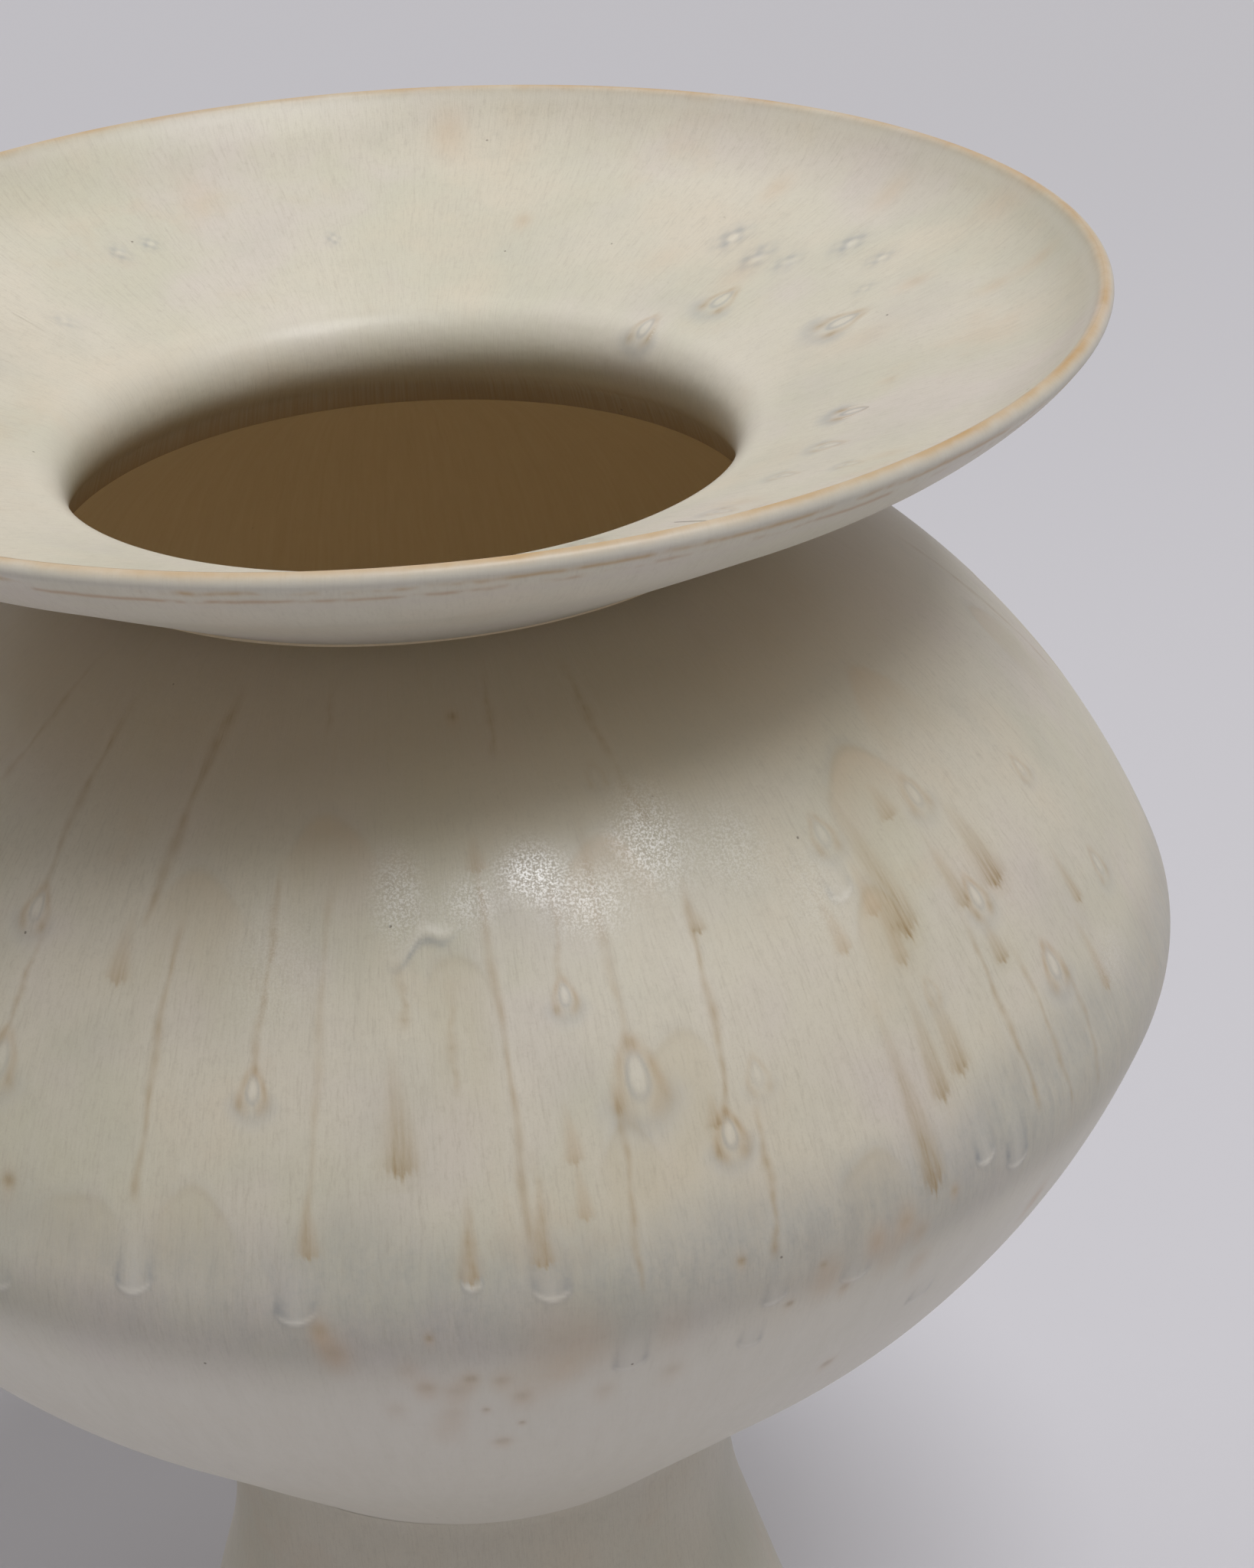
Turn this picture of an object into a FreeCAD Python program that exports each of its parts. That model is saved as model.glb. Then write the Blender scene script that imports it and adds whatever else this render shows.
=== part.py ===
import FreeCAD, Part
import os
import Sketcher

# A vase with a broad dished collar, on a hollow pedestal foot. It is put together from four thrown
# parts, each turned about the vertical axis: the foot, two nearly equal bowls joined rim to rim,
# and the collar with its neck. Lengths are in millimetres. The foot ring stands on height zero.

doc = FreeCAD.newDocument("collared_vase")
sheet = doc.addObject("Spreadsheet::Sheet", "sizes")

# Sizes that may be changed: name, size, what it is
sizes = [
    ("belly_radius", 152.2, "widest radius, where the rims of the two bowls meet"),
    ("belly_turn", 21.6, "radius of the rounded turn at the belly"),
    ("shoulder_drop", 50.2, "the upper bowl's centre lies this far below the rims"),
    ("bowl_lift", 51.0, "the lower bowl's centre lies this far above the rims"),
    ("bowl_lean", 42.2, "degrees from level of the lower bowl's straight run to its base"),
    ("wall", 6.5, "wall of both bowls"),
    ("rim_wall", 9.0, "wall at the two rims"),
    ("rim_bevel", 3.5, "the rims slope down this far towards the inside"),
    ("floor_thickness", 9.0, "floor of the lower bowl"),
    ("foot_height", 98.8, "from the ground to the base of the lower bowl"),
    ("waist_radius", 56.0, "outside of the foot's straight waist"),
    ("waist_length", 17.0, "straight part of the foot below the base"),
    ("flare_turn", 80.0, "radius of the turn from the waist into the flare"),
    ("flare_angle", 16.5, "degrees from upright at which the foot flares"),
    ("foot_wall", 7.0, "wall of the foot's waist"),
    ("foot_ring", 8.0, "width of the bare ring that the vase stands on"),
    ("neck_radius", 71.7, "where the collar's underside meets the shoulder"),
    ("neck_wall", 5.7, "wall of the neck there"),
    ("throat_roll", 10.0, "radius of the roll from the dish into the throat"),
    ("throat_undercut", 45.0, "degrees that the roll turns under, below the throat"),
    ("rim_radius", 140.0, "outermost radius of the collar"),
    ("collar_angle", 27.5, "degrees from level of the collar's underside"),
    ("curl_turn", 57.0, "radius of the underside's curl up to the lip"),
    ("curl_angle", 19.6, "degrees that the underside curls"),
    ("lip_inset", 2.1, "the curl ends this far inside the rim"),
    ("lip_side", 3.5, "height of the lip's outer side"),
    ("crest_inset", 1.2, "the crest lies this far inside the rim"),
    ("crest_rise", 1.9, "height of the crest above the lip's side"),
    ("dish_angle", 18.2, "degrees from level of the dish's straight run"),
    ("dish_turn", 45.0, "radius of the dish's curl up to the crest"),
    ("dish_curl", 32.0, "degrees that the dish curls"),
]

# Places worked out from them: name, formula. Angles are degrees, anticlockwise from outwards.
places = [
    # centres and ends of the belly's turn and of the two bowls
    ("turn_centre", "belly_radius - belly_turn"),
    ("upper_radius", "belly_turn + sqrt(turn_centre ^ 2 + shoulder_drop ^ 2)"),
    ("lower_radius", "belly_turn + sqrt(turn_centre ^ 2 + bowl_lift ^ 2)"),
    ("upper_start", "atan(shoulder_drop / turn_centre) / 1 deg"),
    ("lower_start", "-atan(bowl_lift / turn_centre) / 1 deg"),
    ("lower_end", "bowl_lean - 90"),
    # heights, up from the base of the lower bowl
    ("run_radius", "lower_radius * cos(lower_end)"),
    ("run_height", "foot_height + (run_radius - waist_radius) * tan(bowl_lean)"),
    ("lower_centre", "run_height - lower_radius * sin(lower_end)"),
    ("belly_height", "lower_centre - bowl_lift"),
    ("upper_centre", "belly_height - shoulder_drop"),
    # inside of the bowls
    ("lower_inside", "lower_radius - wall"),
    ("upper_inside", "upper_radius - wall"),
    ("floor_height", "foot_height + floor_thickness"),
    ("floor_rise", "lower_centre + lower_inside * sin(lower_end) - floor_height"),
    ("floor_radius", "lower_inside * cos(lower_end) - floor_rise / tan(bowl_lean)"),
    ("rim_inside", "belly_radius - rim_wall"),
    ("rim_low", "belly_height - rim_bevel"),
    # the opening in the shoulder, cut square to its wall, and the neck's tapered end in it
    ("opening_angle", "acos(neck_radius / upper_radius) / 1 deg"),
    ("opening_height", "upper_centre + upper_radius * sin(opening_angle)"),
    ("taper_radius", "upper_inside * cos(opening_angle)"),
    ("taper_height", "upper_centre + upper_inside * sin(opening_angle)"),
    # the foot
    ("flare_centre", "waist_radius + flare_turn"),
    ("flare_height", "foot_height - waist_length"),
    ("flare_start", "180"),
    ("flare_end", "180 + flare_angle"),
    ("flare_low", "flare_height - flare_turn * sin(flare_angle)"),
    ("flare_low_radius", "flare_centre - flare_turn * cos(flare_angle)"),
    ("foot_radius", "flare_low_radius + flare_low * tan(flare_angle)"),
    ("ring_inside", "foot_radius - foot_ring"),
    ("bore_radius", "waist_radius - foot_wall"),
    # underside of the collar, from the neck out to the lip
    ("curl_start", "collar_angle - 90"),
    ("curl_end", "curl_start + curl_angle"),
    ("curl_centre", "rim_radius - lip_inset - curl_turn * cos(curl_end)"),
    ("curl_radius", "curl_centre + curl_turn * cos(curl_start)"),
    ("curl_low", "opening_height + (curl_radius - neck_radius) * tan(collar_angle)"),
    ("curl_height", "curl_low - curl_turn * sin(curl_start)"),
    # lip, and the collar's dish from the crest in to the throat
    ("rim_height", "curl_height + curl_turn * sin(curl_end) + lip_side"),
    ("crest_radius", "rim_radius - crest_inset"),
    ("crest_height", "rim_height + crest_rise"),
    ("dish_end", "dish_angle - 90"),
    ("dish_start", "dish_end + dish_curl"),
    ("dish_centre", "crest_radius - dish_turn * cos(dish_start)"),
    ("dish_height", "crest_height - dish_turn * sin(dish_start)"),
    ("throat_radius", "neck_radius - neck_wall"),
    ("roll_centre", "throat_radius + throat_roll"),
    ("roll_start", "dish_angle + 90"),
    ("roll_end", "180 + throat_undercut"),
    ("roll_run", "dish_centre + dish_turn * cos(dish_end) - roll_centre - throat_roll * cos(roll_start)"),
    ("roll_top", "dish_height + dish_turn * sin(dish_end) - roll_run * tan(dish_angle)"),
    ("roll_height", "roll_top - throat_roll * sin(roll_start)"),
]

# Round stretches: name, radius of the centre, its height, radius, start, end, straight runs in it
stretches = [
    ("flare", "flare_centre", "flare_height", "flare_turn", "flare_start", "flare_end", 1),
    ("bowl", "zero", "lower_centre", "lower_radius", "lower_end", "lower_start", 2),
    ("low_belly", "turn_centre", "belly_height", "belly_turn", "lower_start", "zero", 1),
    ("hollow", "zero", "lower_centre", "lower_inside", "lower_start", "lower_end", 1),
    ("high_belly", "turn_centre", "belly_height", "belly_turn", "zero", "upper_start", 1),
    ("shoulder", "zero", "upper_centre", "upper_radius", "upper_start", "opening_angle", 4),
    ("vault", "zero", "upper_centre", "upper_inside", "opening_angle", "upper_start", 2),
    ("curl", "curl_centre", "curl_height", "curl_turn", "curl_start", "curl_end", 1),
    ("dish", "dish_centre", "dish_height", "dish_turn", "dish_start", "dish_end", 2),
    ("roll", "roll_centre", "roll_height", "throat_roll", "roll_start", "roll_end", 3),
]


def add_row(alias, text, note):
    row = len(rows) + 1
    rows.append(alias)
    sheet.set("A%d" % row, note)
    sheet.set("B%d" % row, text)
    sheet.setAlias("B%d" % row, alias)


def stretch_rows(name, across, up, radius, start, end, runs):
    corners = []
    runs = round(runs)
    for step in range(runs + 1):
        turned = "%s + (%s - %s) * %d / %d" % (start, end, start, step, runs)
        corner = ("%s_%d_radius" % (name, step), "%s_%d_height" % (name, step))
        add_row(corner[0], "=%s + %s * cos(%s)" % (across, radius, turned), name)
        add_row(corner[1], "=%s + %s * sin(%s)" % (up, radius, turned), name)
        corners.append(corner)
    return corners


rows = []
add_row("zero", "0", "the axis and the ground")
for alias, size, note in sizes:
    add_row(alias, str(size), note)
for alias, formula in places:
    add_row(alias, "=" + formula, "worked out")
bends = {stretch[0]: stretch_rows(*stretch) for stretch in stretches}
doc.recompute()


def turned_part(label, outline):
    """A body turned from a closed outline. A corner is the name of its radius and of its height."""
    body = doc.addObject("PartDesign::Body", label)
    sketch = body.newObject("Sketcher::SketchObject", label + "_outline")
    upright = [plane for plane in body.Origin.OriginFeatures if plane.Role == "XZ_Plane"]
    sketch.AttachmentSupport = [(upright[0], "")]
    sketch.MapMode = "FlatFace"
    points = [FreeCAD.Vector(sheet.get(across), sheet.get(up), 0) for across, up in outline]
    for edge, start in enumerate(points):
        sketch.addGeometry(Part.LineSegment(points[edge - 1], start))
    for edge, (across, up) in enumerate(outline):
        after = (edge + 1) % len(outline)
        sketch.addConstraint(Sketcher.Constraint("Coincident", edge, 2, after, 1))
        for kind, place, axis in (("DistanceX", across, -2), ("DistanceY", up, -1)):
            if place == "zero":
                sketch.addConstraint(Sketcher.Constraint("PointOnObject", edge, 2, axis))
            else:
                tie = Sketcher.Constraint(kind, -1, 1, edge, 2, sheet.get(place))
                tie = sketch.addConstraint(tie)
                sketch.setExpression("Constraints[%d]" % tie, "sizes." + place)
    turned = body.newObject("PartDesign::Revolution", label + "_turned")
    turned.Profile = sketch
    turned.ReferenceAxis = (sketch, ["V_Axis"])
    turned.Angle = 360
    body.Tip = turned


# Foot: an open pedestal whose flat top carries the base of the lower bowl
turned_part("foot", [
    ("waist_radius", "foot_height"),
    *bends["flare"],
    ("foot_radius", "zero"),
    ("ring_inside", "zero"),
    ("bore_radius", "flare_low"),
    ("bore_radius", "foot_height"),
])

# Lower bowl: flat base, straight run, round side, and a rim that is thicker and bevelled
turned_part("lower_bowl", [
    ("zero", "foot_height"),
    ("waist_radius", "foot_height"),
    *bends["bowl"],
    *bends["low_belly"][1:],
    ("rim_inside", "rim_low"),
    *bends["hollow"][1:],
    ("floor_radius", "floor_height"),
    ("zero", "floor_height"),
])

# Upper bowl: its bevelled rim sits on the lower one, and its opening takes the neck
turned_part("upper_bowl", [
    *bends["high_belly"],
    *bends["shoulder"][1:],
    *bends["vault"][:-1],
    ("rim_inside", "rim_low"),
])

# Collar: tapered end of the neck, cone of the underside, lip, dish and throat
turned_part("neck_collar", [
    ("taper_radius", "taper_height"),
    ("neck_radius", "opening_height"),
    *bends["curl"],
    ("rim_radius", "rim_height"),
    *bends["dish"],
    *bends["roll"],
])
doc.recompute()

# Check every object, then write one file for each part
for item in doc.Objects:
    if "Invalid" in item.State or "Error" in item.State:
        raise RuntimeError(item.Label + " can't be worked out")
os.makedirs("parts", exist_ok=True)
for body in doc.findObjects("PartDesign::Body"):
    if body.Shape.isNull() or not body.Shape.isValid():
        raise RuntimeError(body.Label + " isn't a sound solid")
    body.Shape.exportStep("parts/%s.step" % body.Label)
    print(body.Label, round(body.Shape.Volume / 1000), "millilitres of clay")
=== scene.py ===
import bpy
import math
import numpy as np
from mathutils import Matrix, Vector


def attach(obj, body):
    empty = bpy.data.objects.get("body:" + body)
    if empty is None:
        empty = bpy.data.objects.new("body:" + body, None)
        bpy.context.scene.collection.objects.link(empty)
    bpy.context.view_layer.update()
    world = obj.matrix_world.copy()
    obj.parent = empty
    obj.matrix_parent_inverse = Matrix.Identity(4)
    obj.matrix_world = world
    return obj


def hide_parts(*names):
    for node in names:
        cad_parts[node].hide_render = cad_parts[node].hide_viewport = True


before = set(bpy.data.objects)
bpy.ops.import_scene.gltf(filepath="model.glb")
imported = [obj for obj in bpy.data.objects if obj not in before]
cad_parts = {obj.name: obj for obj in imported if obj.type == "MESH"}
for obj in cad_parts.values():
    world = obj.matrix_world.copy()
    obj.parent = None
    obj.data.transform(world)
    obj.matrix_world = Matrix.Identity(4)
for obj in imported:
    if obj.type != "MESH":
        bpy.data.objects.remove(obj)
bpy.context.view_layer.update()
print("frame loaded")

# Lengths are millimetres until a mesh is made. Azimuth 0 faces the camera's side (-Y) and grows
# towards +X. Every glazed face is a run of (radius, height) carried round the axis.


# Runs: the outline of each clay part, glaze included
spacing = 0.1               # between the points of a run, before its rows are picked


def arcRun(acrossCentre, upCentre, radius, startAngle, endAngle):
    # points on a circle, angles in degrees from outwards
    count = max(int(abs(math.radians(endAngle - startAngle)) * radius / spacing), 2)
    turn = np.radians(np.linspace(startAngle, endAngle, count))
    return np.c_[acrossCentre + radius * np.cos(turn), upCentre + radius * np.sin(turn)]


def straightRun(start, end):
    count = max(int(math.dist(start, end) / spacing), 2)
    return np.linspace(start, end, count)


def makeRun(parts, rows, soften=0.0):
    # joins the parts, evens out the spacing, rounds the corners with a bell curve of soften
    # millimetres, and picks rows; each stretch of rows is (share of the length, number of rows)
    line = np.vstack(parts)
    apart = 1e-6            # points closer than this are one point
    line = line[np.r_[True, np.hypot(*np.diff(line, axis=0).T) > apart]]
    length = np.r_[0, np.cumsum(np.hypot(*np.diff(line, axis=0).T))]
    even = np.arange(0, length[-1], spacing)
    line = np.c_[np.interp(even, length, line[:, 0]), np.interp(even, length, line[:, 1])]
    if soften:
        width = soften * round(1 / spacing)         # the bell's, in points
        reach = round(4 * width)
        bell = np.exp(-0.5 * (np.arange(-reach, reach + 1) / width) ** 2)
        padded = np.vstack([2 * line[0] - line[reach:0:-1], line,
                            2 * line[-1] - line[-2:-reach - 2:-1]])
        line = np.stack([np.convolve(column, bell / bell.sum(), "valid") for column in padded.T], -1)
    length = np.r_[0, np.cumsum(np.hypot(*np.diff(line, axis=0).T))]
    slope = np.gradient(line, length, axis=0)
    slope /= np.hypot(*slope.T)[:, None]
    stops, start = [], 0.0
    for share, count in rows:
        stops.append(np.linspace(start, share, count, endpoint=False))
        start = share
    along = np.r_[np.concatenate(stops), 1.0] * length[-1]
    return {"along": along, "across": np.interp(along, length, line[:, 0]),
            "length": length, "line": line, "slopes": slope}


def onRun(run, along):
    # radius, height and slope of a run at any distance along it
    columns = (*run["line"].T, *run["slopes"].T)
    return [np.interp(along, run["length"], column) for column in columns]


# An arc is (centre's radius, centre's height, own radius), and a stretch has two ends.
bodyForm = {
    "skin": 0.25,           # the glaze's face lies this far inside the CAD radii, so runs stay in the box
    "clayBelow": 0.4,       # from the glaze's face to the clay under it
    "bellyRadius": 152.2, "bellyTurn": 21.6, "bellyHeight": 215.44,
    "upperCentre": 165.24, "upperRadius": 161.52, "upperStart": 21.03, "upperEnd": 63.65,
    "lowerCentre": 266.44, "lowerRadius": 161.80, "lowerStart": -21.33, "lowerEnd": -47.8,
    "neckReach": 0.6,       # the glaze starts this many degrees inside the collar's neck
    "marksFrom": 62.33,     # marks are measured down from this angle on the shoulder
    "bowlCone": ((108.69, 146.57), (56.0, 98.8)), "coneInwards": (0.68, 0.73),
    "rows": [(0.62, 290), (1.0, 64)],
}
skin = bodyForm["skin"]
clayDepth = skin + bodyForm["clayBelow"]
turnCentre = bodyForm["bellyRadius"] - bodyForm["bellyTurn"]
glazeStart = bodyForm["upperEnd"] + bodyForm["neckReach"]


def shoulderArc(inset, startAngle, endAngle):
    return arcRun(0, bodyForm["upperCentre"], bodyForm["upperRadius"] - inset, startAngle, endAngle)


def bellyArc(inset, startAngle, endAngle):
    return arcRun(turnCentre, bodyForm["bellyHeight"], bodyForm["bellyTurn"] - inset, startAngle, endAngle)


def upperParts(inset):
    # shoulder and the upper half of the belly's turn, from the neck down
    return [shoulderArc(inset, bodyForm["upperEnd"], bodyForm["upperStart"]),
            bellyArc(inset, bodyForm["upperStart"], 0)]


def lowerParts(inset):
    # lower half of the belly's turn, the bowl, and the cone down to the foot
    (topAcross, topUp), (baseAcross, baseUp) = bodyForm["bowlCone"]
    inwards, upwards = bodyForm["coneInwards"]
    return [bellyArc(inset, 0, bodyForm["lowerStart"]),
            arcRun(0, bodyForm["lowerCentre"], bodyForm["lowerRadius"] - inset,
                   bodyForm["lowerStart"], bodyForm["lowerEnd"]),
            straightRun((topAcross - inwards * inset, topUp + upwards * inset),
                        (baseAcross, baseUp + upwards * inset))]


bodyParts = [shoulderArc(skin, glazeStart, bodyForm["upperEnd"]), *upperParts(skin), *lowerParts(skin)]
bodyRun = makeRun(bodyParts, bodyForm["rows"])
shoulderClayRun = makeRun(upperParts(clayDepth), [(1.0, 50)])
haunchClayRun = makeRun(lowerParts(clayDepth), [(1.0, 50)])
bodyFace = bodyForm["upperRadius"] - skin
markAt = math.radians(glazeStart - bodyForm["marksFrom"]) * bodyFace
bellyAt = math.radians(bodyForm["marksFrom"] - bodyForm["upperStart"]) * bodyFace \
    + math.radians(bodyForm["upperStart"]) * (bodyForm["bellyTurn"] - skin)

# the unseen faces of both bowls: vault, hollow, the joint between them, and the base on the foot
hollowForm = {
    "vault": (0, bodyForm["upperCentre"], 155.0), "bowl": (0, bodyForm["lowerCentre"], 155.3),
    "upperRim": ((143.4, 212.1), (143.6, 216)), "lowerRim": ((143.3, 210.4), (143.4, 211.9)),
    "neckRim": ((71.0, 303.0), (70.8, 303.15)), "floor": ((0, 107.9), (52, 107.9)),
    "cone": ((60, 111.4), (104.3, 151.4)), "base": ((55.9, 98.9), (0, 98.9)),
    "joint": ((bodyForm["bellyRadius"] - clayDepth, 215.4), (143.4, 211.95)),
}
vaultRun = makeRun([
    straightRun(*hollowForm["upperRim"]),
    arcRun(*hollowForm["vault"], 22, 62.5),
    straightRun(*hollowForm["neckRim"]),
], [(1.0, 30)], 1.5)
hollowRun = makeRun([
    straightRun(*hollowForm["floor"]),
    straightRun(*hollowForm["cone"]),
    arcRun(*hollowForm["bowl"], -47.8, -21.5),
    straightRun(*hollowForm["lowerRim"]),
], [(1.0, 40)], 2.0)
jointDownRun = makeRun([straightRun(*hollowForm["joint"])], [(1.0, 2)])
jointUpRun = makeRun([straightRun(*reversed(hollowForm["joint"]))], [(1.0, 2)])
baseRun = makeRun([straightRun(*hollowForm["base"])], [(1.0, 4)])

collarForm = {
    "lip": (137.95, 351.5, 1.8), "rim": (105.87, 377.8, 39.8), "roll": (76, 315.6, 10),
    "curl": (96.15, 386.98, 56.8), "underLip": ((137.75, 348.45), (137.7, 348.4)),
    "underCone": ((122.3, 336.6), (71.8, 310.3)), "seat": ((71.7, 310.2), (70.8, 303.2)),
    "throatWall": ((70.8, 303.2), (69.0, 308.4)), "dishFloor": ((72.9, 325.1), (118.3, 340.0)),
}
underRun = makeRun([
    arcRun(*collarForm["lip"], 90, -40),
    straightRun(*collarForm["underLip"]),
    arcRun(*collarForm["curl"], -43, -62.5),
    straightRun(*collarForm["underCone"]),
], [(0.07, 22), (0.16, 14), (1.0, 60)], 0.7)
seatRun = makeRun([straightRun(*collarForm["seat"])], [(1.0, 3)])
dishRun = makeRun([
    straightRun(*collarForm["throatWall"]),
    arcRun(*collarForm["roll"], 225, 108.2),
    straightRun(*collarForm["dishFloor"]),
    arcRun(*collarForm["rim"], -71.8, -39.5),
    arcRun(*collarForm["lip"], 127, 90),
], [(0.28, 30), (0.94, 48), (1.0, 20)], 0.6)
dishLength = dishRun["length"][-1]

footForm = {
    "fillet": (62.0, 96.14, 6.1), "waist": ((55.85, 96.1), (55.85, 81.8)),
    "flare": (136.0, 81.8, 80.15), "skirt": ((59.2, 58.9), (76.3, 1.4)), "ring": (75.3, 1.36, 1.3),
    "sole": ((75.3, 0.06), (70.5, 0.06)), "soleTurn": (70.5, 1.54, 1.48),
    "boreCone": ((68.6, 2.2), (49.1, 59)), "boreWall": ((49.1, 59), (49.1, 98.6)),
}
footRun = makeRun([
    arcRun(*footForm["fillet"], 132.2, 180),
    straightRun(*footForm["waist"]),
    arcRun(*footForm["flare"], 180, 196.5),
    straightRun(*footForm["skirt"]),
    arcRun(*footForm["ring"], -10, -90),
], [(0.08, 10), (0.97, 90), (1.0, 8)], 0.5)
boreRun = makeRun([
    straightRun(*footForm["sole"]),
    arcRun(*footForm["soleTurn"], -90, -160),
    straightRun(*footForm["boreCone"]),
    straightRun(*footForm["boreWall"]),
], [(0.05, 8), (0.09, 8), (1.0, 40)], 0.4)


# Glaze marks, each placed where the photograph shows it

# azimuth and distance down from the neck, start and end; half width, strength
runMarks = [
    (-35.4, 57.8, -36.6, 79.9, 0.75, 0.5), (-23.4, 6, -26.3, 53.5, 1.1, 0.6),
    (-37.6, 12, -37.3, 50.9, 0.9, 0.5), (-46.6, 4.8, -48.1, 35.0, 0.8, 0.4),
    (-11.4, 4, -11.3, 14, 0.8, 0.35), (8.6, 2.6, 7.3, 21.3, 0.8, 0.4), (18.7, 4, 19.5, 25.6, 1.0, 0.5),
    (19.5, 25.6, 20.4, 39.6, 0.8, 0.35), (21.7, 52, 19.6, 95.0, 0.85, 0.62),
    (-22.7, 50, -23.3, 101.5, 0.85, 0.55), (-14.3, 40, -14.9, 77.7, 0.75, 0.5),
    (-9.4, 42, -10.9, 108.5, 0.9, 0.3), (-3.6, 58.5, -3.4, 70, 1.0, 0.5), (3.8, 41, 4.3, 109.5, 0.85, 0.55),
    (10.2, 45, 9.3, 64, 0.65, 0.4), (13.9, 36, 13.2, 79, 1.1, 0.38), (0.2, 99, 0.3, 116.5, 1.0, 0.35),
    (22.1, 93, 21.0, 121.5, 0.85, 0.6), (11.7, 84, 11.4, 121, 0.75, 0.5), (45.7, 80, 45.5, 118, 0.85, 0.6),
    (49.4, 88, 49.6, 122, 0.8, 0.45), (54.6, 98, 53.6, 123, 0.8, 0.4), (0.4, 62, 0.1, 82.3, 1.0, 0.35),
    (5.0, 92, 5.2, 113, 1.0, 0.3),
]
# azimuth and distance of a drop's clear core, size, strength
dropMarks = [
    (-37.2, 55.8, 1.1, 0.7), (-15.0, 82.0, 1.0, 0.9), (9.3, 68.6, 0.85, 0.8), (13.6, 85.0, 1.75, 0.9),
    (22.6, 90.0, 0.9, 0.35), (19.4, 98.6, 1.15, 1.0), (36.7, 54.0, 1.05, 0.5), (53.0, 98.2, 1.25, 0.8),
    (64.4, 67.0, 0.8, 0.5), (66.3, 92.8, 1.0, 0.5), (48.8, 56.0, 1.1, 0.55), (48.4, 78.2, 1.1, 0.7),
    (-36.2, 83.5, 1.4, 0.6), (39.5, 88.5, 0.7, 0.3), (17.3, 30.0, 0.7, 0.25),
]
# tongues of thick glaze that stop below the belly: azimuth, distance of the tip, half width, length
tongueMarks = [
    (-22.9, 119.6, 3.6, 18), (-11.6, 123.0, 3.9, 16), (5.3, 121.3, 3.6, 14), (10.7, 143.5, 3.3, 22),
    (19.8, 146.5, 2.6, 13), (21.0, 134.0, 2.6, 12), (27.6, 136.2, 3.4, 10), (36.6, 158.0, 3.0, 12),
    (42.6, 127.5, 3.2, 20), (39.3, 122.5, 2.8, 14), (0.1, 117.6, 2.0, 10), (-33.5, 124.5, 3.0, 9),
    (35.6, 66.5, 3.2, 11),
]
# ochre streaks that end in a point: azimuth and distance of the tip, half width, length, strength
flameMarks = [
    (-4.2, 97.3, 1.9, 24, 0.7), (39.9, 78.2, 2.2, 34, 0.75), (34.2, 122.8, 1.6, 42, 0.8),
    (37.0, 107.5, 1.5, 24, 0.7), (39.4, 105.0, 1.7, 22, 0.6), (51.6, 79.5, 2.3, 22, 0.75),
    (46.9, 79.0, 1.2, 17, 0.65), (58.6, 111.0, 1.2, 18, 0.45), (60.5, 94.0, 1.1, 14, 0.5),
    (47.9, 91.5, 1.4, 10, 0.6), (37.7, 71.5, 1.4, 12, 0.3), (33.4, 75.5, 1.2, 13, 0.3),
    (38.2, 82.0, 1.1, 16, 0.5), (8.0, 98.0, 1.1, 12, 0.35), (-27.5, 66.0, 1.5, 14, 0.4),
    (5.0, 115.0, 1.4, 13, 0.55), (0.0, 116.5, 1.4, 16, 0.4), (-10.7, 111.0, 1.3, 12, 0.45),
    (44.6, 57.5, 1.5, 9, 0.5), (3.8, 44.5, 1.2, 8, 0.4), (8.2, 108.0, 1.0, 12, 0.35),
    (18.5, 97.0, 1.0, 7, 0.5), (21.6, 63.0, 1.0, 8, 0.6),
]
# arched edges with thinner glaze below: azimuth, distance of the top, half width, length, edge, blush
archMarks = [
    (0.9, 58.0, 5.5, 34, 0.35, 0.1), (15.1, 40.5, 7.0, 16, 0.3, 0.75), (-9.8, 31.5, 7.0, 24, 0.3, 0.5),
    (17.0, 78.5, 6.0, 32, 0.35, 0.1), (44.0, 41.5, 8.5, 22, 0.75, 0.85), (29.2, 109.5, 6.5, 16, 0.45, 0.25),
    (-21.7, 43.5, 7.5, 26, 0.35, 0.35), (-18.8, 99.5, 7.0, 18, 0.35, 0.0),
    (-27.5, 102.5, 7.5, 20, 0.3, 0.0), (12.0, 92.5, 5.0, 24, 0.45, 0.0), (54.0, 30.0, 6.5, 16, 0.2, 0.6),
    (37.8, 66.0, 5.5, 20, 0.55, 0.4),
]
# thick rolled edges: azimuth, distance, half width, lean
knobMarks = [(-1.6, 56.2, 5.2, -0.35)]
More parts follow.
